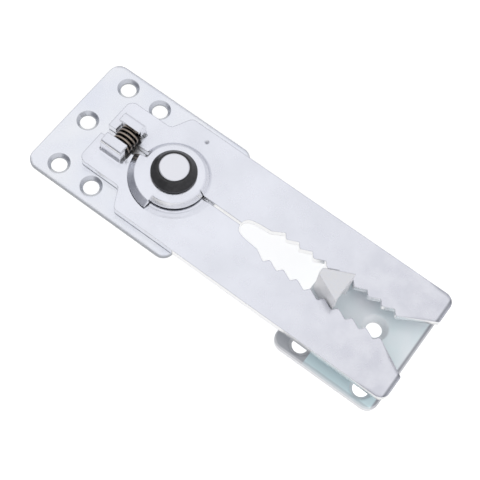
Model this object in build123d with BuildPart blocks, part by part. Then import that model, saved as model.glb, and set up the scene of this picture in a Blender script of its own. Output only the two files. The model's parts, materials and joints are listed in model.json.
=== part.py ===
from build123d import *
import math
import os

os.makedirs("parts", exist_ok=True)

# All sizes in mm. The origin is the middle of the base plate's four corner screws, on its underside.
# +X runs along the jaws to their mouth, +Y to the left jaw, +Z up.

# Sheets and the stack on the pivot
base_sheet = 2.0
jaw_sheet = 3.0
catch_sheet = 3.0
stack_gap = 0.3
pivot_x = 30.15
jaw_bottom = base_sheet + stack_gap
jaw_top = jaw_bottom + jaw_sheet
eye_bottom = jaw_top + stack_gap
eye_top = eye_bottom + jaw_sheet

# Base plate
base_length = 66.2
base_back = -18.45
base_half_width = 27.5
plate_corner = 4.5
screw_row = 15.3
screw_edge = 6.8
screw_across = 2 * (base_half_width - screw_edge)
end_screw_x = -10.85
screw_radius = 3.05
screw_sink_radius = 4.3

# Rivet and the conical collar under its upper head
shank_radius = 4.5
shank_play = 0.05
foot_radius = 6.3
foot_fit = 0.03
rivet_head_radius = 5.65
rivet_head_rise = 0.6
rivet_head_seat = 0.8
collar_radius = 8.7
collar_height = 3.6
collar_top_radius = 6.5

# Jaws, measured from the pivot; y is the distance from the middle line
jaw_half_width = 24.0
jaw_end = 109.9
slit_half = 0.55
slit_end = 31.0
pear_rise = ((0.3, 1.8), (1.2, 2.9), (2.8, 3.6), (5.5, 4.1))
tip_half = 5.09
tip_radius = 0.9
valley_radius = 0.6
valley_half = 7.2
tooth_pitch = 6.02
tooth_count = 9
first_tip = 47.7
steep_run = 1.6
lead_tip = 41.6
lead_half = 4.5
mouth_half = 12.9
mouth_corner = 0.8
jaw_corner = 4.0
tail_end = -32.5
tail_half_width = 15.75
tail_inner = 2.2
shoulder_back = -13.5
shoulder_front = -9.3
shoulder_radius = 2.2
tail_corner = 3.0
edge_break = 0.3
dimple_x = 0.9
dimple_y = 19.3
dimple_radius = 1.0
dimple_depth = 0.5
step_ease = 0.6

# The left jaw's eye lies over the right jaw's: on its own side its sheet steps up along a steep cone, on the
# other side it ends in an eased rim, which is drawn down towards the tail. The right jaw is coined round it.
eye_flat_radius = 12.0
step_rise = jaw_sheet + stack_gap
step_run = 1.6
step_foot_radius = eye_flat_radius + step_run
under_shift = jaw_sheet * math.tan(math.atan2(step_rise, step_run) / 2)
eye_clearance = 0.4
lower_eye_radius = eye_flat_radius - under_shift - eye_clearance
rim_radius = 13.4
rim_edge = 0.4
skirt_radius = 17.0
skirt_shoulder = 14.6
skirt_drop = 0.5
skirt_start = 186.0
skirt_arc = 82.0
coin_depth = 0.7
coin_land = 11.5
coin_inner = 14.6
coin_outer = 17.4

# Spring tabs, bent up from the tails, and the spring between them
tab_back = -28.2
tab_front = -19.1
tab_inner = 4.8
tab_height = 7.0
tab_sheet = 3.0
tab_lip = 1.4
tab_lip_sheet = 1.4
tab_relief = 0.8
tab_bend = 1.6
tab_top_bend = 1.7
tab_foot_bend = 1.2
spring_x = -23.1
spring_radius = 4.2
wire_radius = 0.7
wire_sides = 5
spring_turns = 3.0
spring_seat = 0.1
lip_under_gap = 0.2

# Catch plate with its arrowhead
catch_top_drop = 8.0
catch_back = 64.6
catch_length = 44.2
catch_half_width = 27.4
catch_hole_x = 87.4
catch_screw_row = 26.4
catch_screw_edge = 5.7
catch_screw_across = 2 * (catch_half_width - catch_screw_edge)
catch_middle_x = 92.1
catch_middle_radius = 3.05
catch_middle_sink = 5.0
head_tip = 65.5
head_back = 76.2
head_half = 6.5
head_rise = 7.0
head_sheet = 2.2
head_nose_half = 1.3
head_nose_radius = 0.6

catch_top = jaw_top - catch_top_drop
catch_bottom = catch_top - catch_sheet
tab_top = jaw_top + tab_height
spring_z = tab_top - tab_lip_sheet - lip_under_gap - spring_radius
pivot_line = Axis((pivot_x, 0, 0), (0, 0, 1))


def level(height):
    """A horizontal plane at this height with its origin on the pivot."""
    return Plane(origin=(pivot_x, 0, height))


def inner_edge():
    """The jaw's edge along the middle line, from the tail over the slit, the pear and the teeth."""
    points = [(tail_end, tail_inner), (tab_back - tab_relief, tail_inner)]
    points += [(tab_back - tab_relief, tab_inner + tab_sheet), (tab_front + tab_relief, tab_inner + tab_sheet)]
    points += [(tab_front + tab_relief, tail_inner), (0, tail_inner), (0, slit_half), (slit_end, slit_half)]
    points += [(slit_end + run, half) for run, half in pear_rise]
    points += [(lead_tip, lead_half)]
    for tooth in range(tooth_count):
        tip_x = first_tip + tooth * tooth_pitch
        points += [(tip_x - steep_run, valley_half), (tip_x, tip_half)]
    points += [(jaw_end, mouth_half)]
    return points


def outer_edge():
    """The jaw's outer edge, from the mouth back to the end of the tail."""
    points = [(jaw_end, jaw_half_width), (shoulder_front, jaw_half_width)]
    points += [(shoulder_back, tail_half_width), (tail_end, tail_half_width)]
    return points


def side_at(angle):
    """A standing plane through the pivot's axis, turned this far from +X."""
    turn = math.radians(angle)
    return Plane(origin=(pivot_x, 0, 0), x_dir=(math.cos(turn), math.sin(turn), 0),
                 z_dir=(math.sin(turn), -math.cos(turn), 0))


def near(corners, points, side):
    """The corners that lie at these points."""
    found = []
    for corner in corners:
        for x, y in points:
            if abs(corner.X - x) < 0.01 and abs(corner.Y - side * y) < 0.01:
                found.append(corner)
    return found


def jaw_blank(side):
    """The flat outline of a jaw about the pivot; side is 1 for the left jaw and -1 for the right one."""
    with BuildSketch(Plane.XY, mode=Mode.PRIVATE) as blank:
        Polygon(*[(x, side * y) for x, y in inner_edge() + outer_edge()], align=None)
        tips = [(first_tip + tooth * tooth_pitch, tip_half) for tooth in range(tooth_count)]
        valleys = [(x - steep_run, valley_half) for x, y in tips]
        fillet(near(blank.vertices(), tips, side), radius=tip_radius)
        fillet(near(blank.vertices(), valleys, side), radius=valley_radius)
        fillet(near(blank.vertices(), [(jaw_end, jaw_half_width)], side), radius=jaw_corner)
        fillet(near(blank.vertices(), [(jaw_end, mouth_half)], side), radius=mouth_corner)
        fillet(near(blank.vertices(), [(tail_end, tail_half_width)], side), radius=tail_corner)
        shoulders = [(shoulder_front, jaw_half_width), (shoulder_back, tail_half_width)]
        fillet(near(blank.vertices(), shoulders, side), radius=shoulder_radius)
    return blank.sketch


def tab(side):
    """The tab: bent up from the tail, then hooked in over the spring."""
    outer = tab_inner + tab_sheet
    lip_bottom = tab_top - tab_lip_sheet
    points = [(outer + 1.5, jaw_bottom), (tab_inner, jaw_bottom), (tab_inner, lip_bottom)]
    points += [(tab_inner - tab_lip, lip_bottom), (tab_inner - tab_lip, tab_top)]
    points += [(outer, tab_top), (outer, jaw_top), (outer + 1.5, jaw_top)]
    side_plane = Plane(origin=(pivot_x + tab_back, 0, 0), x_dir=(0, 1, 0), z_dir=(1, 0, 0))
    with BuildSketch(side_plane, mode=Mode.PRIVATE) as bent:
        Polygon(*[(side * y, z) for y, z in points], align=None)
        fillet(near(bent.vertices(), [(side * tab_inner, jaw_bottom)], 1), radius=tab_bend)
        fillet(near(bent.vertices(), [(side * outer, tab_top)], 1), radius=tab_top_bend)
        fillet(near(bent.vertices(), [(side * outer, jaw_top)], 1), radius=tab_foot_bend)
    return extrude(bent.sketch, amount=tab_front - tab_back, dir=(1, 0, 0), mode=Mode.PRIVATE)


def left_room():
    """The space that the left jaw fills: its outline, and all round the pivot above the right jaw."""
    outline = extrude(Pos(pivot_x, 0, jaw_bottom) * jaw_blank(1), amount=eye_top - jaw_bottom, dir=(0, 0, 1))
    over = Pos(pivot_x, 0, eye_bottom) * Cylinder(
        eye_flat_radius, jaw_sheet, align=(Align.CENTER, Align.CENTER, Align.MIN))
    return outline + over


# Base plate
with BuildPart() as base_plate:
    with BuildSketch(Plane(origin=(base_back + base_length / 2, 0, 0))):
        RectangleRounded(base_length, 2 * base_half_width, plate_corner)
    extrude(amount=base_sheet)
    chamfer(base_plate.edges().group_by(Axis.Z)[-1], length=edge_break)
    with Locations(Plane(origin=(0, 0, base_sheet))):
        with GridLocations(screw_row, screw_across, 2, 2):
            CounterSinkHole(screw_radius, screw_sink_radius, counter_sink_angle=90)
        with Locations((end_screw_x, 0)):
            CounterSinkHole(screw_radius, screw_sink_radius, counter_sink_angle=90)
    with BuildSketch(side_at(0)):
        Polygon((0, 0), (foot_radius + foot_fit, 0), (shank_radius + foot_fit, foot_radius - shank_radius),
                (shank_radius + foot_fit, base_sheet), (0, base_sheet), align=None)
    revolve(axis=pivot_line, mode=Mode.SUBTRACT)
base_plate.part.label = "base_plate"
export_step(base_plate.part, "parts/base_plate.step")

# Rivet: a countersunk foot in the base plate, the shank and a low head in the collar
collar_bottom = eye_top + stack_gap
collar_top = collar_bottom + collar_height
with BuildPart() as pivot_rivet:
    with BuildSketch(side_at(0)):
        Polygon((0, 0), (foot_radius, 0), (shank_radius, foot_radius - shank_radius),
                (shank_radius, collar_top - rivet_head_seat), (rivet_head_radius, collar_top - rivet_head_seat),
                (rivet_head_radius, collar_top + rivet_head_rise - 0.3),
                (rivet_head_radius - 0.4, collar_top + rivet_head_rise), (0, collar_top + rivet_head_rise),
                align=None)
    revolve(axis=pivot_line)
pivot_rivet.part.label = "pivot_rivet"
export_step(pivot_rivet.part, "parts/pivot_rivet.step")

# Collar
with BuildPart() as cone_collar:
    with BuildSketch(side_at(0)):
        Polygon((shank_radius, collar_bottom), (collar_radius, collar_bottom),
                (collar_radius, collar_bottom + 0.8), (collar_top_radius, collar_top),
                (rivet_head_radius, collar_top), (rivet_head_radius, collar_top - rivet_head_seat),
                (shank_radius, collar_top - rivet_head_seat), align=None)
    revolve(axis=pivot_line)
cone_collar.part.label = "cone_collar"
export_step(cone_collar.part, "parts/cone_collar.step")

# Left jaw: its eye is raised by a sheet and a gap
left_space = left_room()
with BuildPart() as left_jaw:
    with BuildSketch(side_at(0)) as stepped:
        Polygon((shank_radius + shank_play, eye_bottom), (eye_flat_radius - under_shift, eye_bottom),
                (step_foot_radius - under_shift, jaw_bottom), (jaw_end + jaw_half_width, jaw_bottom),
                (jaw_end + jaw_half_width, jaw_top), (step_foot_radius, jaw_top),
                (eye_flat_radius, eye_top), (shank_radius + shank_play, eye_top), align=None)
        creases = [(step_foot_radius, jaw_top), (eye_flat_radius, eye_top)]
        chamfer(near(stepped.vertices(), creases, 1), length=step_ease)
    revolve(axis=pivot_line)
    add(left_space, mode=Mode.INTERSECT)
    with BuildSketch(side_at(180)) as rim:
        Polygon((shank_radius + shank_play, eye_bottom), (rim_radius, eye_bottom),
                (rim_radius, eye_bottom + rim_edge), (eye_flat_radius, eye_top),
                (shank_radius + shank_play, eye_top), align=None)
        chamfer(near(rim.vertices(), [(eye_flat_radius, eye_top)], 1), length=step_ease)
    revolve(axis=pivot_line, revolution_arc=180)
    with BuildSketch(side_at(skirt_start)):
        Polygon((shank_radius + shank_play, eye_bottom), (skirt_radius, eye_bottom),
                (skirt_radius, eye_bottom + rim_edge), (skirt_shoulder, eye_top - skirt_drop),
                (eye_flat_radius, eye_top), (shank_radius + shank_play, eye_top), align=None)
    revolve(axis=pivot_line, revolution_arc=skirt_arc)
    add(tab(1))
    with Locations((pivot_x + dimple_x, dimple_y, jaw_top)):
        Cone(dimple_radius / 2, dimple_radius, dimple_depth, align=(Align.CENTER, Align.CENTER, Align.MAX),
             mode=Mode.SUBTRACT)
left_jaw.part.label = "left_jaw"
export_step(left_jaw.part, "parts/left_jaw.step")

# Right jaw: flat, with its eye under the left one
with BuildPart() as right_jaw:
    with BuildSketch(level(jaw_bottom)):
        add(jaw_blank(-1))
        with Locations((0, 0)):
            Circle(lower_eye_radius)
    extrude(amount=jaw_sheet)
    with BuildSketch(level(jaw_bottom)):
        Circle(shank_radius + shank_play)
    extrude(amount=jaw_sheet, mode=Mode.SUBTRACT)
    with BuildSketch(side_at(0)):
        Polygon((coin_land, jaw_top - coin_depth), (coin_inner, jaw_top - coin_depth), (coin_outer, jaw_top),
                (coin_outer, eye_bottom), (coin_land, eye_bottom), align=None)
    revolve(axis=pivot_line, mode=Mode.SUBTRACT)
    add(tab(-1))
right_jaw.part.label = "right_jaw"
export_step(right_jaw.part, "parts/right_jaw.step")

# Tail spring, pressed between the two tabs
spring_length = 2 * (tab_inner - spring_seat - wire_radius)
with BuildPart() as tail_spring:
    with BuildLine() as coil:
        Helix(pitch=spring_length / spring_turns, height=spring_length, radius=spring_radius - wire_radius,
              center=(pivot_x + spring_x, -spring_length / 2, spring_z), direction=(0, 1, 0))
    with BuildSketch(Plane(origin=coil.line @ 0, z_dir=coil.line % 0)):
        RegularPolygon(wire_radius, wire_sides)
    sweep(path=coil.line, is_frenet=True)
tail_spring.part.label = "tail_spring"
export_step(tail_spring.part, "parts/tail_spring.step")

# Catch plate with its hollow arrowhead, open at the back
with BuildPart() as catch_plate:
    with BuildSketch(Plane(origin=(pivot_x + catch_back + catch_length / 2, 0, catch_bottom))):
        RectangleRounded(catch_length, 2 * catch_half_width, plate_corner)
    extrude(amount=catch_sheet)
    chamfer(catch_plate.edges().group_by(Axis.Z)[-1], length=2 * edge_break)
    with Locations(Plane(origin=(pivot_x + catch_hole_x, 0, catch_top))):
        with GridLocations(catch_screw_row, catch_screw_across, 2, 2):
            CounterSinkHole(screw_radius, screw_sink_radius, counter_sink_angle=90)
        with Locations((catch_middle_x - catch_hole_x, 0)):
            CounterSinkHole(catch_middle_radius, catch_middle_sink, counter_sink_angle=90)
    with BuildSketch(level(catch_top)) as arrow:
        Polygon((head_tip, -head_nose_half), (head_back, -head_half), (head_back, head_half),
                (head_tip, head_nose_half), align=None)
        fillet(arrow.vertices().sort_by(Axis.X)[0:2], radius=head_nose_radius)
    extrude(amount=jaw_top + head_rise - catch_top)
    wall_slope = math.atan2(head_half - head_nose_half, head_back - head_tip)
    hollow_tip = head_tip + (head_sheet / math.cos(wall_slope) - head_nose_half) / math.tan(wall_slope)
    hollow_half = (head_back - hollow_tip) * math.tan(wall_slope)
    with BuildSketch(level(catch_top)):
        Polygon((hollow_tip, 0), (head_back + 1, -hollow_half * (1 + 1 / (head_back - hollow_tip))),
                (head_back + 1, hollow_half * (1 + 1 / (head_back - hollow_tip))), align=None)
    extrude(amount=jaw_top + head_rise - head_sheet - catch_top, mode=Mode.SUBTRACT)
catch_plate.part.label = "catch_plate"
export_step(catch_plate.part, "parts/catch_plate.step")
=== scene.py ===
"""Looks for the spring-jaw sofa connector: bright zinc plate, a black collar and a dark spring."""

import json

import bpy
import numpy as np
from mathutils import Matrix, Vector


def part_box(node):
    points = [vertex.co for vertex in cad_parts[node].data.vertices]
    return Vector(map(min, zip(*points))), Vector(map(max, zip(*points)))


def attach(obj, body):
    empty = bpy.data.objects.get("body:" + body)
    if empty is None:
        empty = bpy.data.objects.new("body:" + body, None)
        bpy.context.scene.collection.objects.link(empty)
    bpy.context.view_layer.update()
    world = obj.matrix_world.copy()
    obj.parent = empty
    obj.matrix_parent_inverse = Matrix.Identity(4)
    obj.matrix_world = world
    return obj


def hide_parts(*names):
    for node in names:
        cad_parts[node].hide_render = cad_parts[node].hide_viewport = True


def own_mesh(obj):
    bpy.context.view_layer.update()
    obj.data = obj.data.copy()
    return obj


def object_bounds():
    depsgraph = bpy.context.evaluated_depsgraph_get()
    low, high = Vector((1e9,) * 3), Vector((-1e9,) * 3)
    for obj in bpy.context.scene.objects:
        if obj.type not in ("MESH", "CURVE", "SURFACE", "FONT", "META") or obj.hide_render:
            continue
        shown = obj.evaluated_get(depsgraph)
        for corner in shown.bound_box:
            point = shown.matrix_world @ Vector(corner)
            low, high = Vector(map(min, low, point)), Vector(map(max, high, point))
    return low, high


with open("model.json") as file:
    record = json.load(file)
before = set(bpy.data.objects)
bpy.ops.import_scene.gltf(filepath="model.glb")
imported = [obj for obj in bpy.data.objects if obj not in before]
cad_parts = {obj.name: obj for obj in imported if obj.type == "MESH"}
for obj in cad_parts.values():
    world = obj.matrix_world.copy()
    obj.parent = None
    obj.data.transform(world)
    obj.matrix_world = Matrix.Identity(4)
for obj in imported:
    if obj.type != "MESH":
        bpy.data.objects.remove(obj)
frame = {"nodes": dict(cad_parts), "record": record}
box_at_load = [list(corner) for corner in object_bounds()]

MM = 0.001
scene = bpy.context.scene
scene.view_settings.view_transform = "Standard"


def corners(piece):
    """The lowest and highest corners of a CAD piece, in mm."""
    return [[side_teal_and_shade / MM for side_teal_and_shade in corner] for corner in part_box(piece)]


# Places and sizes on the part, in mm, in the CAD's frame
joints = {joint["name"]: joint for joint in frame["record"]["behaviour"]["joints"]}
PIVOT_X = joints["left_pivot"]["pos_m"][0] / MM
JAW_LOW, JAW_HIGH = corners("left_jaw")
JAW_SHEET = 3.0
JAW_TOP = JAW_LOW[2] + JAW_SHEET
DIMPLE = (PIVOT_X + 0.9, 19.3, JAW_TOP)
CATCH_LOW, CATCH_HIGH = corners("catch_plate")
CATCH_SHEET = 3.0
ABOVE_CATCH = CATCH_LOW[2] + CATCH_SHEET + 0.3

# The spring, in mm. Its tabs stand TAB_REACH behind the pivot.
TAB_REACH = 23.1
SPRING_X = PIVOT_X - TAB_REACH
SPRING_Z = 6.5
SPRING_HALF = 4.7
SPRING_RADIUS = 3.4
SPRING_TURNS = 4.7
WIRE_RADIUS = 0.75

# Where a tone or an edge starts to change and where it is full, in mm: along the jaws from the pivot, across
# the base and the catch plate from the middle, inside the catch plate's painted dark border, and round the
# dimple's painted shade
STAIN = (35.0, 110.0)
JAW_ROLL = (98.0, 103.0)
BASE_SIDE = (24.5, 25.5)
CATCH_SIDE = (15.0, 21.0)
SIDE_BORDER = (1.6, 1.1)
END_BORDER = (1.8, 1.2)
DIMPLE_SHADE = (0.9, 0.6)

# The band along the jaws' end that holds the painted dark line, in mm, and where the catch plate's sides turn
# from painted grey shade to teal, in mm from the pivot
LIP_WIDTH = 3.0
TEAL_START = 78.8

# How far the edges are rounded, in mm
HOLE_EDGE = 0.5
BASE_EDGE = 2.2
JAW_EDGE = 0.6
JAW_END_EDGE = 3.0
HEAD_EDGE = 0.5
CATCH_EDGE = 1.4
COLLAR_EDGE = 0.5
RIVET_EDGE = 0.4

# The camera that the photograph was taken with: its turn in radians and its shift in mm, about the pivot at
# the height of the jaws' top, and its focal length in pixels of the photograph
PHOTO_SIZE = 480
FOCAL_PIXELS = 1153.656
CAMERA_TURNS = (-0.416, 0.077, -0.633)
CAMERA_SHIFT = (-24.549, 23.539, -427.374)
SENSOR = 36.0

# Colours as the eye sees them, sRGB
ZINC_BLUE = "#e1e3ea"
ZINC_WARM = "#e4e6ea"
ZINC_CLEAN = "#dde0e8"
ZINC_GREY = "#d9dbe2"
ZINC_LAVENDER = "#cccdd5"
ZINC_MAUVE = "#d8d9df"
ZINC_TEAL = "#dae6ea"
ZINC_PALE = "#e6eaef"
ZINC_SIDE_TEAL = "#cbdfe4"
# Painted shade: the catch plate's sides under the jaws' inner end, and the base's countersinks and cut edges
ZINC_PAINTED_SHADE = "#a9acb1"
ZINC_SAND = "#dcdcdf"
# Painted highlight on the jaws' steep walls and slopes, and the sheared edges' own light tone
ZINC_CUT_AND_HIGHLIGHT = "#fafafb"
# Painted dark: the jaws' end line and the catch plate's border, which stand for dark reflections in rolled
# edges, and painted shade in the dimple
ZINC_PAINTED_DARK = "#999ba2"
RIVET_ZINC = "#dfe0e5"
COLLAR_BLACK = "#131315"
COLLAR_WORN = "#2a2a2c"
SPRING_BLACK = "#0e0c0b"
# Painted highlight on the outer crest of the spring wire
SPRING_PAINTED_HIGHLIGHT = "#a2968a"
WHITE = "#ffffff"
BLACK = "#000000"

# The surround: its light on the part, the strength of its mirror image in metal, and the tones of that image
# by the height of the direction, towards the window and towards the darker room, which lies on ROOM_SIDE
SURROUND_LIGHT = 0.66
MIRROR_LIGHT = 1.12
WINDOW_TONES = [(0.0, "#c2c3c9"), (0.15, "#d4d5db"), (0.4, "#ececf0"), (0.8, "#fbfbfd")]
ROOM_TONES = [(0.0, "#7c7e85"), (0.2, "#7e7f86"), (0.42, "#93949b"), (0.65, "#f6f6f9")]
ROOM_SIDE = (-0.559, -0.829, 0.0)

# The floor: how far it lies below the part and half its side, in mm, its glow and its light on the part
FLOOR_DROP = 22.0
FLOOR_HALF = 1500.0
FLOOR_GLOW = 0.3
FLOOR_LIGHT = 0.95

# The colour inputs and the colour output of a Mix node, by number, since their names aren't unique
MIX_A = 6
MIX_B = 7
MIX_RESULT = 2


def linear(colour):
    """An sRGB hex colour turned to linear light, with alpha 1."""
    parts = [int(colour[i:i + 2], 16) / 255 for i in (1, 3, 5)]
    return tuple(p / 12.92 if p <= 0.04045 else ((p + 0.055) / 1.055) ** 2.4 for p in parts) + (1.0,)


def node(tree, kind, inputs=None, stops=(), **settings):
    """Adds a shader node. Of its inputs, by name or number, a socket is linked and a value is set; settings
    are its own properties, and stops are the places and sRGB colours of a colour ramp."""
    made = tree.nodes.new(kind)
    for name, value in settings.items():
        setattr(made, name, value)
    for name, source in (inputs or {}).items():
        if isinstance(source, bpy.types.NodeSocket):
            tree.links.new(source, made.inputs[name])
        else:
            made.inputs[name].default_value = source
    for spare in stops[2:]:
        made.color_ramp.elements.new(0.5)
    for number, (place, colour) in enumerate(stops):
        made.color_ramp.elements[number].position = place
        made.color_ramp.elements[number].color = linear(colour)
    return made


def new_material(name, metallic, roughness=0.5):
    """A material with its tree, its Principled shader and its Object coordinates."""
    material = bpy.data.materials.new(name)
    material.use_nodes = True
    tree = material.node_tree
    shader = tree.nodes["Principled BSDF"]
    shader.inputs["Metallic"].default_value = metallic
    shader.inputs["Roughness"].default_value = roughness
    place = node(tree, "ShaderNodeTexCoord").outputs["Object"]
    return material, tree, shader, place


def mottled(tree, place, patch, detail, low, high):
    """A tone that drifts in patches of a size in mm between two stops of a noise's colour ramp."""
    noise = node(tree, "ShaderNodeTexNoise", {"Vector": place, "Scale": 1 / (patch * MM), "Detail": detail})
    return node(tree, "ShaderNodeValToRGB", {"Fac": noise.outputs["Fac"]}, [low, high]).outputs["Color"]


def relief(tree, shader, height, strength, depth, edge):
    """Relief of a depth in mm, in the shading alone, over edges that are rounded by a radius in metres."""
    rolled = node(tree, "ShaderNodeBevel", {"Radius": edge}, samples=6)
    bump = node(tree, "ShaderNodeBump", {"Height": height, "Normal": rolled.outputs["Normal"],
                                         "Strength": strength, "Distance": depth * MM})
    tree.links.new(bump.outputs["Normal"], shader.inputs["Normal"])


def zinc_surface(tree, shader, place, tone, roughness, edge, cut_and_painted_tone, steep_from):
    """What every zinc-plated sheet shares: faces less level than the given level in a tone of their own,
    which is the cut edges' own tone and also paints light and shade by steepness alone, a painted highlight
    on the jaws' walls and slopes and painted shade in the base's countersinks, gloss that varies in cloudy
    patches, a faint wave from rolling, and edges rolled over by the press, which catch the light as thin
    lines."""
    normal = node(tree, "ShaderNodeNewGeometry").outputs["Normal"]
    upright = node(tree, "ShaderNodeSeparateXYZ", {"Vector": normal})
    level = node(tree, "ShaderNodeMath", {0: upright.outputs["Z"]}, operation="ABSOLUTE")
    # A tone by steepness alone: painted light and shade on walls and slopes, besides the cut edges' own tone
    steep = node(tree, "ShaderNodeMapRange", {"Value": level.outputs["Value"], "From Min": steep_from,
                                            "From Max": steep_from - 0.2})
    steep_toned = node(tree, "ShaderNodeMix", {"Factor": steep.outputs["Result"], MIX_A: tone,
                                         MIX_B: linear(cut_and_painted_tone)}, data_type="RGBA")
    tree.links.new(steep_toned.outputs[MIX_RESULT], shader.inputs["Base Color"])
    clouds = node(tree, "ShaderNodeTexNoise", {"Vector": place, "Scale": 1 / (4.0 * MM), "Detail": 5.0})
    gloss = node(tree, "ShaderNodeMapRange", {"Value": clouds.outputs["Fac"],
                                              "From Min": 0.3, "From Max": 0.7,
                                              "To Min": roughness * 0.8, "To Max": roughness * 1.25})
    tree.links.new(gloss.outputs["Result"], shader.inputs["Roughness"])
    waves = node(tree, "ShaderNodeTexNoise", {"Vector": place, "Scale": 1 / (9.0 * MM), "Detail": 2.0})
    relief(tree, shader, waves.outputs["Fac"], strength=0.06, depth=0.4, edge=edge)


def zinc_base(name):
    """The base sheet: bright blue-passivated zinc, the cleanest and lightest of the sheets, with painted
    shade in its countersinks and on its cut edges, with its long edges rolled over further than its holes."""
    material, tree, shader, place = new_material(name, metallic=1.0)
    tone = mottled(tree, place, 18.0, 4.0, (0.35, ZINC_WARM), (0.65, ZINC_CLEAN))
    axes = node(tree, "ShaderNodeSeparateXYZ", {"Vector": place})
    aside = node(tree, "ShaderNodeMath", {0: axes.outputs["Y"]}, operation="ABSOLUTE")
    edge = node(tree, "ShaderNodeMapRange", {"Value": aside.outputs["Value"],
                                             "From Min": BASE_SIDE[0] * MM, "From Max": BASE_SIDE[1] * MM,
                                             "To Min": HOLE_EDGE * MM, "To Max": BASE_EDGE * MM})
    # The steep faces here take painted shade: the countersinks and the cut edges
    zinc_surface(tree, shader, place, tone, 0.25, edge.outputs["Result"], ZINC_PAINTED_SHADE, steep_from=0.8)
    return material


def zinc_jaw(name):
    """The jaws' sheet: bright near the pivot and stained lavender in soft mottles towards the teeth, where
    the plating is thinner, with a painted dark line along the mouth's end that stands for the dark reflection
    in its rolled edge, and painted shade in the punched dimple."""
    material, tree, shader, place = new_material(name, metallic=1.0)
    bright = mottled(tree, place, 18.0, 4.0, (0.35, ZINC_GREY), (0.65, ZINC_BLUE))
    stained = mottled(tree, place, 7.0, 5.0, (0.35, ZINC_LAVENDER), (0.65, ZINC_MAUVE))
    axes = node(tree, "ShaderNodeSeparateXYZ", {"Vector": place})
    along = node(tree, "ShaderNodeMapRange", {"Value": axes.outputs["X"],
                                              "From Min": (PIVOT_X + STAIN[0]) * MM,
                                              "From Max": (PIVOT_X + STAIN[1]) * MM},
                 interpolation_type="SMOOTHSTEP")
    tone = node(tree, "ShaderNodeMix", {"Factor": along.outputs["Result"], MIX_A: bright, MIX_B: stained},
                data_type="RGBA")
    # A painted dark line along the mouth's end, which stands for the dark reflection in the rolled edge
    end = node(tree, "ShaderNodeMapRange", {"Value": axes.outputs["X"],
                                            "From Min": (JAW_HIGH[0] - LIP_WIDTH) * MM,
                                            "From Max": JAW_HIGH[0] * MM})
    end_line = node(tree, "ShaderNodeValToRGB", {"Fac": end.outputs["Result"]},
               [(0.4, BLACK), (0.6, WHITE), (0.75, WHITE), (0.9, BLACK)])
    # Painted shade in the punched dimple
    from_dimple = node(tree, "ShaderNodeVectorMath", {0: place, 1: [side_teal_and_shade * MM for side_teal_and_shade in DIMPLE]},
                       operation="DISTANCE")
    dimple_shade = node(tree, "ShaderNodeMapRange", {"Value": from_dimple.outputs["Value"],
                                              "From Min": DIMPLE_SHADE[0] * MM, "From Max": DIMPLE_SHADE[1] * MM})
    painted_dark = node(tree, "ShaderNodeMath", {0: end_line.outputs["Color"], 1: dimple_shade.outputs["Result"]},
                operation="MAXIMUM")
    shaded_tone = node(tree, "ShaderNodeMix", {"Factor": painted_dark.outputs["Value"], MIX_A: tone.outputs[MIX_RESULT],
                                          MIX_B: linear(ZINC_PAINTED_DARK)}, data_type="RGBA")
    edge = node(tree, "ShaderNodeMapRange", {"Value": axes.outputs["X"],
                                             "From Min": (PIVOT_X + JAW_ROLL[0]) * MM,
                                             "From Max": (PIVOT_X + JAW_ROLL[1]) * MM,
                                             "To Min": JAW_EDGE * MM, "To Max": JAW_END_EDGE * MM})
    # The steep faces here take a painted highlight, over the sheared edges' own light tone
    zinc_surface(tree, shader, place, shaded_tone.outputs[MIX_RESULT], 0.24, edge.outputs["Result"], ZINC_CUT_AND_HIGHLIGHT,
                 steep_from=0.75)
    return material


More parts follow.
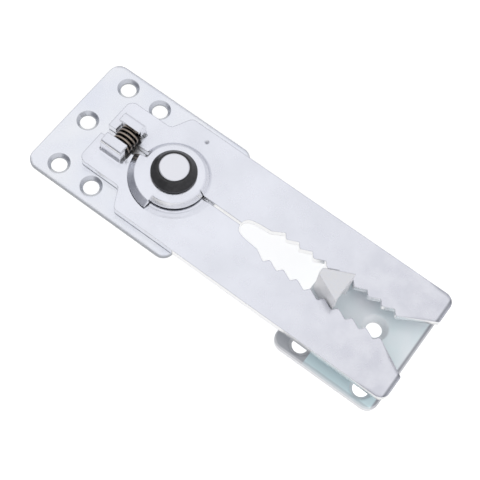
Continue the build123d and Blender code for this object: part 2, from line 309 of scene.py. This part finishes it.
def zinc_catch(name):
    """The mating plate's sheet: a satin zinc, pale teal in the mouth and teal at its sides, which turn to a
    painted grey shade behind a sharp edge, under the jaws' inner end, with a painted dark line along its
    rolled border for its dark reflection, and a sandy neutral grey on the arrowhead."""
    material, tree, shader, place = new_material(name, metallic=0.1)
    axes = node(tree, "ShaderNodeSeparateXYZ", {"Vector": place})
    aside = node(tree, "ShaderNodeMath", {0: axes.outputs["Y"]}, operation="ABSOLUTE")
    ahead = node(tree, "ShaderNodeMath", {0: axes.outputs["X"], 1: (PIVOT_X + TEAL_START) * MM},
                 operation="GREATER_THAN")
    flat = node(tree, "ShaderNodeMath", {0: axes.outputs["Z"], 1: ABOVE_CATCH * MM}, operation="LESS_THAN")
    sandy = mottled(tree, place, 0.8, 4.0, (0.3, ZINC_GREY), (0.7, ZINC_SAND))
    teal = mottled(tree, place, 14.0, 4.0, (0.35, ZINC_TEAL), (0.7, ZINC_PALE))
    # Behind TEAL_START the sides take painted shade, under the jaws' inner end; ahead of it they are teal
    side_teal_and_shade = node(tree, "ShaderNodeMix", {"Factor": ahead.outputs["Value"], MIX_A: linear(ZINC_PAINTED_SHADE),
                                        MIX_B: linear(ZINC_SIDE_TEAL)}, data_type="RGBA")
    sideways = node(tree, "ShaderNodeMapRange", {"Value": aside.outputs["Value"],
                                                 "From Min": CATCH_SIDE[0] * MM,
                                                 "From Max": CATCH_SIDE[1] * MM})
    plate = node(tree, "ShaderNodeMix", {"Factor": sideways.outputs["Result"], MIX_A: teal,
                                         MIX_B: side_teal_and_shade.outputs[MIX_RESULT]}, data_type="RGBA")
    # A painted dark line along the rolled border, which stands for its dark reflection
    at_side = node(tree, "ShaderNodeMapRange", {"Value": aside.outputs["Value"], "To Max": 0.45,
                                                "From Min": (CATCH_HIGH[1] - SIDE_BORDER[0]) * MM,
                                                "From Max": (CATCH_HIGH[1] - SIDE_BORDER[1]) * MM})
    at_end = node(tree, "ShaderNodeMapRange", {"Value": axes.outputs["X"],
                                               "From Min": (CATCH_HIGH[0] - END_BORDER[0]) * MM,
                                               "From Max": (CATCH_HIGH[0] - END_BORDER[1]) * MM})
    painted_border = node(tree, "ShaderNodeMath", {0: at_side.outputs["Result"], 1: at_end.outputs["Result"]},
                  operation="MAXIMUM")
    border_shaded = node(tree, "ShaderNodeMix", {"Factor": painted_border.outputs["Value"],
                                            MIX_A: plate.outputs[MIX_RESULT], MIX_B: linear(ZINC_PAINTED_DARK)},
                    data_type="RGBA")
    tone = node(tree, "ShaderNodeMix", {"Factor": flat.outputs["Value"], MIX_A: sandy,
                                        MIX_B: border_shaded.outputs[MIX_RESULT]}, data_type="RGBA")
    edge = node(tree, "ShaderNodeMapRange", {"Value": flat.outputs["Value"], "To Min": HEAD_EDGE * MM,
                                             "To Max": CATCH_EDGE * MM})
    zinc_surface(tree, shader, place, tone.outputs[MIX_RESULT], 0.4, edge.outputs["Result"], ZINC_SAND,
                 steep_from=0.8)
    return material


def black_enamel(name):
    """Black baked enamel on the turned collar: semi-gloss, with a faint orange peel."""
    material, tree, shader, place = new_material(name, metallic=0.0, roughness=0.42)
    tone = mottled(tree, place, 1.2, 4.0, (0.3, COLLAR_BLACK), (0.8, COLLAR_WORN))
    tree.links.new(tone, shader.inputs["Base Color"])
    peel = node(tree, "ShaderNodeTexNoise", {"Vector": place, "Scale": 1 / (0.5 * MM), "Detail": 3.0})
    relief(tree, shader, peel.outputs["Fac"], strength=0.25, depth=0.1, edge=COLLAR_EDGE * MM)
    return material


def oiled_spring_steel(name):
    """Black oiled spring wire: nearly black, with a painted bronze highlight along the outside of the turns."""
    material, tree, shader, place = new_material(name, metallic=0.9, roughness=0.3)
    across = node(tree, "ShaderNodeVectorMath", {0: place, 1: (1, 0, 1)}, operation="MULTIPLY")
    out = node(tree, "ShaderNodeVectorMath", {0: across.outputs["Vector"],
                                              1: (SPRING_X * MM, 0, SPRING_Z * MM)}, operation="DISTANCE")
    # A painted bronze highlight along the outer crest of the wire
    crest_highlight = node(tree, "ShaderNodeMapRange", {"Value": out.outputs["Value"],
                                               "From Min": (SPRING_RADIUS + 0.8 * WIRE_RADIUS) * MM,
                                               "From Max": (SPRING_RADIUS + WIRE_RADIUS) * MM})
    tone = node(tree, "ShaderNodeValToRGB", {"Fac": crest_highlight.outputs["Result"]},
                [(0.0, SPRING_BLACK), (0.8, SPRING_PAINTED_HIGHLIGHT)])
    tree.links.new(tone.outputs["Color"], shader.inputs["Base Color"])
    return material


def peened_zinc(name):
    """The rivet's spun-over end: zinc over fine rings left by the riveting tool."""
    material, tree, shader, place = new_material(name, metallic=1.0, roughness=0.3)
    shader.inputs["Base Color"].default_value = linear(RIVET_ZINC)
    centred = node(tree, "ShaderNodeMapping", {"Vector": place, "Location": (-PIVOT_X * MM, 0, 0)},
                   vector_type="POINT")
    rings = node(tree, "ShaderNodeTexWave", {"Vector": centred.outputs["Vector"], "Scale": 1 / (6.0 * MM),
                                             "Distortion": 1.0}, wave_type="RINGS", rings_direction="Z")
    relief(tree, shader, rings.outputs["Fac"], strength=0.08, depth=0.1, edge=RIVET_EDGE * MM)
    return material


def grid_object(name, points):
    """A mesh from a grid of points, rows along u and columns round v, with its two ends capped."""
    rows, columns = points.shape[:2]
    index = np.arange(rows * columns).reshape(rows, columns)
    step = np.roll(index, -1, axis=1)
    quads = np.stack([index[:-1], step[:-1], step[1:], index[1:]], axis=-1).reshape(-1, 4)
    faces = quads.tolist() + [index[0, ::-1].tolist(), index[-1].tolist()]
    mesh = bpy.data.meshes.new(name)
    mesh.from_pydata((points.reshape(-1, 3) * MM).tolist(), [], faces)
    mesh.validate()
    mesh.shade_smooth()
    made = bpy.data.objects.new(name, mesh)
    scene.collection.objects.link(made)
    return made


def coil(turn_steps=56, wire_steps=14):
    """The points of a compression spring along Y: with u from 0 to 1 the wire's middle is at angle
    2 pi (turns (u - 0.5) - 0.25) on a circle and climbs by u - 0.017 sin(2 pi u), so that its turns lie
    closed at both ends; a circle is carried along. The middle row is halfway between the tabs, on the side
    away from the pivot, where the tabs come closest."""
    count = 2 * int(SPRING_TURNS * turn_steps / 2) + 1
    u = np.linspace(0, 1, count)
    angle = 2 * np.pi * (SPRING_TURNS * (u - 0.5) - 0.25)
    rise = 2 * (SPRING_HALF - WIRE_RADIUS)
    y = rise * (u - 0.017 * np.sin(2 * np.pi * u) - 0.5)
    out = np.stack([np.sin(angle), np.zeros(count), np.cos(angle)], axis=-1)
    middle = np.array([SPRING_X, 0, SPRING_Z]) + SPRING_RADIUS * out + y[:, None] * np.array([0, 1, 0])
    along = np.gradient(middle, axis=0)
    along /= np.linalg.norm(along, axis=1, keepdims=True)
    side_teal_and_shade = np.cross(along, out)
    v = np.linspace(0, 2 * np.pi, wire_steps, endpoint=False)
    ring = (out[:, None] * np.cos(v)[None, :, None] + side_teal_and_shade[:, None] * np.sin(v)[None, :, None]) * WIRE_RADIUS
    return middle[:, None] + ring


def camera_turn(x, y, z):
    """The turn from the part to the camera: about X after Y after Z."""
    return Matrix.Rotation(x, 3, "X") @ Matrix.Rotation(y, 3, "Y") @ Matrix.Rotation(z, 3, "Z")


def add_camera():
    """The photograph's camera, worked out from its turn, its distance and its focal length in pixels."""
    data = bpy.data.cameras.new("photo_camera")
    data.sensor_width = SENSOR
    data.lens = SENSOR * FOCAL_PIXELS / PHOTO_SIZE
    data.clip_start = 0.01
    data.clip_end = 20
    back = camera_turn(*CAMERA_TURNS).transposed()
    place = (Vector((PIVOT_X, 0, JAW_TOP)) - back @ Vector(CAMERA_SHIFT)) * MM
    camera = bpy.data.objects.new("photo_camera", data)
    camera.matrix_world = Matrix.Translation(place) @ back.to_4x4()
    scene.collection.objects.link(camera)
    scene.camera = camera


def soft_lamp(name, place_mm, size_mm, power, look_mm):
    """A large soft lamp that looks at a point on the part. Metal mirrors the white surround alone, since a
    lamp in front of it would add up to more than white."""
    data = bpy.data.lights.new(name, "AREA")
    data.shape = "RECTANGLE"
    data.size = size_mm[0] * MM
    data.size_y = size_mm[1] * MM
    data.energy = power
    lamp = bpy.data.objects.new(name, data)
    lamp.visible_glossy = False
    place = Vector(place_mm) * MM
    aim = (place - Vector(look_mm) * MM).to_track_quat("Z", "Y")
    lamp.matrix_world = Matrix.Translation(place) @ aim.to_matrix().to_4x4()
    scene.collection.objects.link(lamp)


def add_floor():
    """A plain white floor under the part: the camera sees the part's shadow on it, and to the part it is the
    lower half of the white surround, which lights the undersides."""
    low = box_at_load[0][2] - FLOOR_DROP * MM
    half = FLOOR_HALF * MM
    mesh = bpy.data.meshes.new("floor")
    mesh.from_pydata([(-half, -half, low), (half, -half, low), (half, half, low), (-half, half, low)], [],
                     [(0, 1, 2, 3)])
    floor = bpy.data.objects.new("floor", mesh)
    scene.collection.objects.link(floor)
    paper = bpy.data.materials.new("white_paper")
    paper.use_nodes = True
    tree = paper.node_tree
    shader = tree.nodes["Principled BSDF"]
    shader.inputs["Base Color"].default_value = linear(WHITE)
    shader.inputs["Roughness"].default_value = 0.9
    shader.inputs["Emission Color"].default_value = linear(WHITE)
    shader.inputs["Emission Strength"].default_value = FLOOR_GLOW
    bright = node(tree, "ShaderNodeEmission", {"Color": linear(WHITE), "Strength": FLOOR_LIGHT})
    path = node(tree, "ShaderNodeLightPath")
    mixed = node(tree, "ShaderNodeMixShader", {"Fac": path.outputs["Is Camera Ray"],
                                               1: bright.outputs["Emission"], 2: shader.outputs["BSDF"]})
    tree.links.new(mixed.outputs["Shader"], tree.nodes["Material Output"].inputs["Surface"])
    mesh.materials.append(paper)


def add_world():
    """A white surround: plain white where the camera sees it, dimmer as light on the part, and where metal
    mirrors it darker towards the horizon and dark on the room's side, which gives slopes and sheet edges
    their tone."""
    world = bpy.data.worlds.new("studio")
    world.use_nodes = True
    scene.world = world
    tree = world.node_tree
    path = node(tree, "ShaderNodeLightPath")
    seen = node(tree, "ShaderNodeBackground", {"Color": linear(WHITE), "Strength": 1.0})
    lit = node(tree, "ShaderNodeBackground", {"Color": linear(WHITE), "Strength": SURROUND_LIGHT})
    direction = node(tree, "ShaderNodeTexCoord").outputs["Generated"]
    axes = node(tree, "ShaderNodeSeparateXYZ", {"Vector": direction})
    window = node(tree, "ShaderNodeValToRGB", {"Fac": axes.outputs["Z"]}, WINDOW_TONES)
    room = node(tree, "ShaderNodeValToRGB", {"Fac": axes.outputs["Z"]}, ROOM_TONES)
    facing = node(tree, "ShaderNodeVectorMath", {0: direction, 1: ROOM_SIDE}, operation="DOT_PRODUCT")
    towards = node(tree, "ShaderNodeMapRange", {"Value": facing.outputs["Value"],
                                                "From Min": 0.5, "From Max": 0.8},
                   interpolation_type="SMOOTHSTEP")
    mirrored = node(tree, "ShaderNodeMix", {"Factor": towards.outputs["Result"],
                                            MIX_A: window.outputs["Color"], MIX_B: room.outputs["Color"]},
                    data_type="RGBA")
    in_metal = node(tree, "ShaderNodeBackground", {"Color": mirrored.outputs[MIX_RESULT],
                                                   "Strength": MIRROR_LIGHT})
    by_mirror = node(tree, "ShaderNodeMixShader", {"Fac": path.outputs["Is Glossy Ray"],
                                                   1: lit.outputs["Background"],
                                                   2: in_metal.outputs["Background"]})
    by_camera = node(tree, "ShaderNodeMixShader", {"Fac": path.outputs["Is Camera Ray"],
                                                   1: by_mirror.outputs["Shader"],
                                                   2: seen.outputs["Background"]})
    tree.links.new(by_camera.outputs["Shader"], tree.nodes["World Output"].inputs["Surface"])


dressed = {
    "base_plate": zinc_base("zinc_plated_base_sheet"),
    "left_jaw": zinc_jaw("zinc_plated_left_jaw"),
    "right_jaw": zinc_jaw("zinc_plated_right_jaw"),
    "catch_plate": zinc_catch("zinc_plated_catch_sheet"),
    "pivot_rivet": peened_zinc("peened_rivet_end"),
    "cone_collar": black_enamel("black_enamelled_collar"),
}
for name, material in dressed.items():
    for slot in frame["nodes"][name].material_slots:
        slot.material = material

# The spring is split halfway: each half rides the jaw that it pushes on
wire = oiled_spring_steel("oiled_spring_wire")
rows = coil()
halfway = len(rows) // 2
for jaw, share, tab_y in (("left", rows[halfway:], SPRING_HALF), ("right", rows[:halfway + 1], -SPRING_HALF)):
    half = grid_object(f"{jaw}_spring_half", share)
    half.data.materials.append(wire)
    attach(half, f"{jaw}_arm")
    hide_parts("tail_spring")
    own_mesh(half)

add_camera()
add_floor()
add_world()
soft_lamp("window", place_mm=(-150, 300, 420), size_mm=(420, 320), power=0.07, look_mm=(40, 0, 0))
soft_lamp("fill", place_mm=(90, -420, 260), size_mm=(640, 340), power=0.6, look_mm=(60, 0, 0))
soft_lamp("front", place_mm=(430, -90, 220), size_mm=(600, 440), power=0.85, look_mm=(115, 0, 0))
